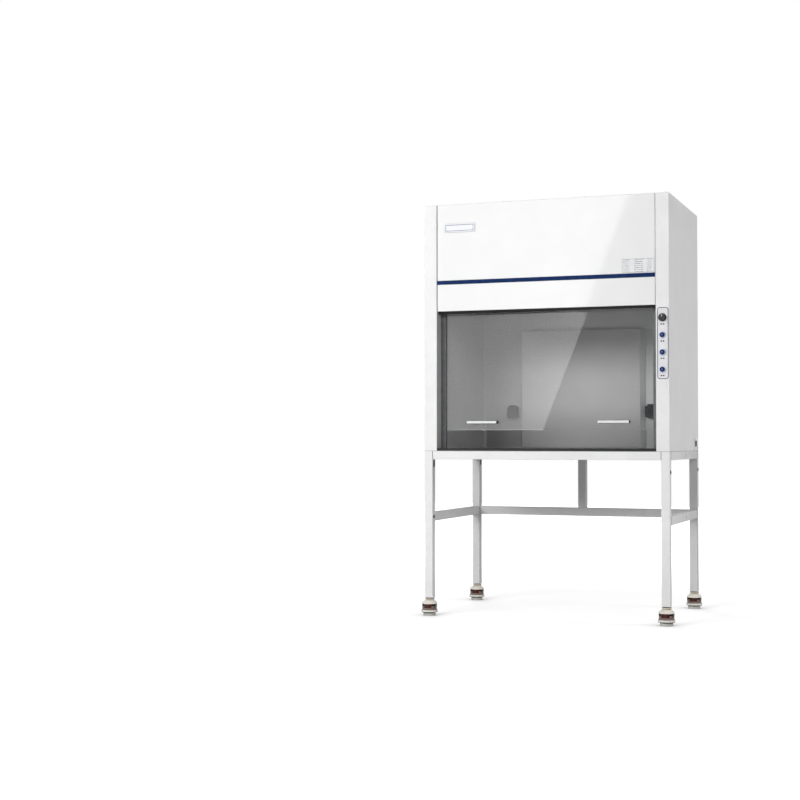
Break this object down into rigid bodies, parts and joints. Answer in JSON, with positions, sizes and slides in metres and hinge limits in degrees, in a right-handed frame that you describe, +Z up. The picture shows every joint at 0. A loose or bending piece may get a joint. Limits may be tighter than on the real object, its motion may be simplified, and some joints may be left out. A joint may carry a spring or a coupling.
{
  "type": "ducted fume hood",
  "caption": "Ducted laboratory fume hood with a counterbalanced glass sash, lined chamber, blower and control column, on a tube stand with levelling castors.",
  "frame": {"origin": "on the floor under the middle of the hood", "axes": "+X to the user's right, +Y to the back, +Z up; the sash faces -Y"},
  "size_m": [1.239, 0.85, 2.056],
  "materials": {
    "cabinet_steel": "smooth powder coat",
    "stripe_blue": "gloss film",
    "worktop_board": "matt phenolic board",
    "liner_board": "satin laminate",
    "clear_glass": "toughened clear",
    "opal_plastic": "opal",
    "white_plastic": "satin",
    "lamp_steel": "white enamel",
    "galvanised": "galvanised sheet",
    "motor_grey": "painted casting",
    "bright_steel": "machined",
    "weight_steel": "black mill scale",
    "anodised": "white anodised extrusion",
    "panel_film": "satin overlay",
    "switch_chrome": "bright",
    "knob_dark": "matt",
    "button_blue": "gloss",
    "inlet_black": "matt",
    "socket_grey": "matt",
    "stand_steel": "powder coat",
    "castor_ivory": "gloss moulding",
    "castor_wheel": "nylon",
    "dial_red": "satin",
    "pad_rubber": "matt"
  },
  "bodies": {
    "hood": {"left_side_panel": "cabinet_steel", "right_side_panel": "cabinet_steel", "back_panel": "cabinet_steel", "top_panel": "cabinet_steel", "left_column": "cabinet_steel", "right_column": "cabinet_steel", "front_fascia": "cabinet_steel", "fascia_stripe": "stripe_blue", "worktop": "worktop_board", "chamber_liner": "liner_board", "chamber_ceiling": "liner_board", "baffle_board": "liner_board", "lamp_fitting": "lamp_steel", "lamp_diffuser": "opal_plastic", "duct_collar": "galvanised", "fan_housing": "galvanised", "fan_motor": "motor_grey", "sash_guides": "white_plastic", "pulley_brackets": "galvanised", "sash_cables": "bright_steel", "control_panel": "panel_film", "panel_switches": "switch_chrome", "power_inlet": "inlet_black", "socket_housings": "socket_grey", "left_end_frame": "stand_steel", "right_end_frame": "stand_steel", "front_rail": "stand_steel", "rear_rail": "stand_steel", "rear_crossbar": "stand_steel", "centre_post": "stand_steel", "castor_stems": "switch_chrome"},
    "sash": {"sash_glass": "clear_glass", "sash_top_rail": "anodised", "sash_handles": "anodised"},
    "counterweights": {"counterweights": "weight_steel"},
    "pulley_shaft": {"pulley_shaft": "bright_steel"},
    "fan_impeller": {"fan_impeller": "galvanised"},
    "speed_knob": {"speed_knob": "knob_dark"},
    "power_button": {"power_button": "button_blue"},
    "fan_button": {"fan_button": "button_blue"},
    "light_button": {"light_button": "button_blue"},
    "left_socket_lid": {"left_socket_lid": "socket_grey"},
    "right_socket_lid": {"right_socket_lid": "socket_grey"},
    "front_left_castor_housing": {"front_left_castor_housing": "castor_ivory"},
    "front_left_castor_wheel": {"front_left_castor_wheel": "castor_wheel"},
    "front_left_castor_dial": {"front_left_castor_dial": "dial_red"},
    "front_left_castor_pad": {"front_left_castor_pad": "pad_rubber"},
    "front_right_castor_housing": {"front_right_castor_housing": "castor_ivory"},
    "front_right_castor_wheel": {"front_right_castor_wheel": "castor_wheel"},
    "front_right_castor_dial": {"front_right_castor_dial": "dial_red"},
    "front_right_castor_pad": {"front_right_castor_pad": "pad_rubber"},
    "rear_left_castor_housing": {"rear_left_castor_housing": "castor_ivory"},
    "rear_left_castor_wheel": {"rear_left_castor_wheel": "castor_wheel"},
    "rear_left_castor_dial": {"rear_left_castor_dial": "dial_red"},
    "rear_left_castor_pad": {"rear_left_castor_pad": "pad_rubber"},
    "rear_right_castor_housing": {"rear_right_castor_housing": "castor_ivory"},
    "rear_right_castor_wheel": {"rear_right_castor_wheel": "castor_wheel"},
    "rear_right_castor_dial": {"rear_right_castor_dial": "dial_red"},
    "rear_right_castor_pad": {"rear_right_castor_pad": "pad_rubber"}
  },
  "joints": [
    {"name": "sash_slide", "type": "slide", "parent": "hood", "child": "sash", "axis": [0, 0, 1], "range_m": [-0.088, 0.31], "deforming": ["sash_cables"]},
    {"name": "counterweight_slide", "type": "slide", "parent": "hood", "child": "counterweights", "axis": [0, 0, 1], "range_m": [-0.31, 0.088]},
    {"name": "pulley_turn", "type": "hinge", "parent": "hood", "child": "pulley_shaft", "pos_m": [0, -0.299, 1.966], "axis": [1, 0, 0], "range_deg": [-711, 202]},
    {"name": "fan_spin", "type": "hinge", "parent": "hood", "child": "fan_impeller", "pos_m": [0, 0.205, 1.77], "axis": [1, 0, 0], "continuous": true},
    {"name": "speed_knob_turn", "type": "hinge", "parent": "hood", "child": "speed_knob", "pos_m": [0.569, -0.4015, 1.424], "axis": [0, 1, 0], "range_deg": [0, 270]},
    {"name": "power_button_press", "type": "slide", "parent": "hood", "child": "power_button", "axis": [0, 1, 0], "range_m": [0, 0.003], "stiffness_N_per_m": 500, "springref_m": -0.002},
    {"name": "fan_button_press", "type": "slide", "parent": "hood", "child": "fan_button", "axis": [0, 1, 0], "range_m": [0, 0.003], "stiffness_N_per_m": 500, "springref_m": -0.002},
    {"name": "light_button_press", "type": "slide", "parent": "hood", "child": "light_button", "axis": [0, 1, 0], "range_m": [0, 0.003], "stiffness_N_per_m": 500, "springref_m": -0.002},
    {"name": "left_lid_hinge", "type": "hinge", "parent": "hood", "child": "left_socket_lid", "pos_m": [-0.369, 0.3315, 1.0365], "axis": [-1, 0, 0], "range_deg": [0, 100]},
    {"name": "right_lid_hinge", "type": "hinge", "parent": "hood", "child": "right_socket_lid", "pos_m": [0.369, 0.3315, 1.0365], "axis": [-1, 0, 0], "range_deg": [0, 100]},
    {"name": "front_left_swivel", "type": "hinge", "parent": "hood", "child": "front_left_castor_housing", "pos_m": [-0.58, -0.38, 0.065], "axis": [0, 0, 1], "continuous": true},
    {"name": "front_left_wheel_spin", "type": "hinge", "parent": "front_left_castor_housing", "child": "front_left_castor_wheel", "pos_m": [-0.58, -0.3605, 0.0255], "axis": [1, 0, 0], "continuous": true},
    {"name": "front_left_dial_turn", "type": "hinge", "parent": "front_left_castor_housing", "child": "front_left_castor_dial", "pos_m": [-0.58, -0.4015, 0.0465], "axis": [0, 0, 1], "range_deg": [-1440, 900]},
    {"name": "front_left_pad_lift", "type": "slide", "parent": "front_left_castor_housing", "child": "front_left_castor_pad", "axis": [0, 0, 1], "range_m": [-0.00801, 0.00501]},
    {"name": "front_right_swivel", "type": "hinge", "parent": "hood", "child": "front_right_castor_housing", "pos_m": [0.58, -0.38, 0.065], "axis": [0, 0, 1], "continuous": true},
    {"name": "front_right_wheel_spin", "type": "hinge", "parent": "front_right_castor_housing", "child": "front_right_castor_wheel", "pos_m": [0.58, -0.3605, 0.0255], "axis": [1, 0, 0], "continuous": true},
    {"name": "front_right_dial_turn", "type": "hinge", "parent": "front_right_castor_housing", "child": "front_right_castor_dial", "pos_m": [0.58, -0.4015, 0.0465], "axis": [0, 0, 1], "range_deg": [-1440, 900]},
    {"name": "front_right_pad_lift", "type": "slide", "parent": "front_right_castor_housing", "child": "front_right_castor_pad", "axis": [0, 0, 1], "range_m": [-0.00801, 0.00501]},
    {"name": "rear_left_swivel", "type": "hinge", "parent": "hood", "child": "rear_left_castor_housing", "pos_m": [-0.58, 0.38, 0.065], "axis": [0, 0, 1], "continuous": true},
    {"name": "rear_left_wheel_spin", "type": "hinge", "parent": "rear_left_castor_housing", "child": "rear_left_castor_wheel", "pos_m": [-0.58, 0.3995, 0.0255], "axis": [1, 0, 0], "continuous": true},
    {"name": "rear_left_dial_turn", "type": "hinge", "parent": "rear_left_castor_housing", "child": "rear_left_castor_dial", "pos_m": [-0.58, 0.3585, 0.0465], "axis": [0, 0, 1], "range_deg": [-1440, 900]},
    {"name": "rear_left_pad_lift", "type": "slide", "parent": "rear_left_castor_housing", "child": "rear_left_castor_pad", "axis": [0, 0, 1], "range_m": [-0.00801, 0.00501]},
    {"name": "rear_right_swivel", "type": "hinge", "parent": "hood", "child": "rear_right_castor_housing", "pos_m": [0.58, 0.38, 0.065], "axis": [0, 0, 1], "continuous": true},
    {"name": "rear_right_wheel_spin", "type": "hinge", "parent": "rear_right_castor_housing", "child": "rear_right_castor_wheel", "pos_m": [0.58, 0.3995, 0.0255], "axis": [1, 0, 0], "continuous": true},
    {"name": "rear_right_dial_turn", "type": "hinge", "parent": "rear_right_castor_housing", "child": "rear_right_castor_dial", "pos_m": [0.58, 0.3585, 0.0465], "axis": [0, 0, 1], "range_deg": [-1440, 900]},
    {"name": "rear_right_pad_lift", "type": "slide", "parent": "rear_right_castor_housing", "child": "rear_right_castor_pad", "axis": [0, 0, 1], "range_m": [-0.00801, 0.00501]}
  ],
  "couplings": [
    {"joint": "counterweight_slide", "follows": "sash_slide", "ratio": -1},
    {"joint": "pulley_turn", "follows": "sash_slide", "rad_per_m": -40},
    {"joint": "front_left_pad_lift", "follows": "front_left_dial_turn", "m_per_rad": 0.00031831},
    {"joint": "front_right_pad_lift", "follows": "front_right_dial_turn", "m_per_rad": 0.00031831},
    {"joint": "rear_left_pad_lift", "follows": "rear_left_dial_turn", "m_per_rad": 0.00031831},
    {"joint": "rear_right_pad_lift", "follows": "rear_right_dial_turn", "m_per_rad": 0.00031831}
  ]
}
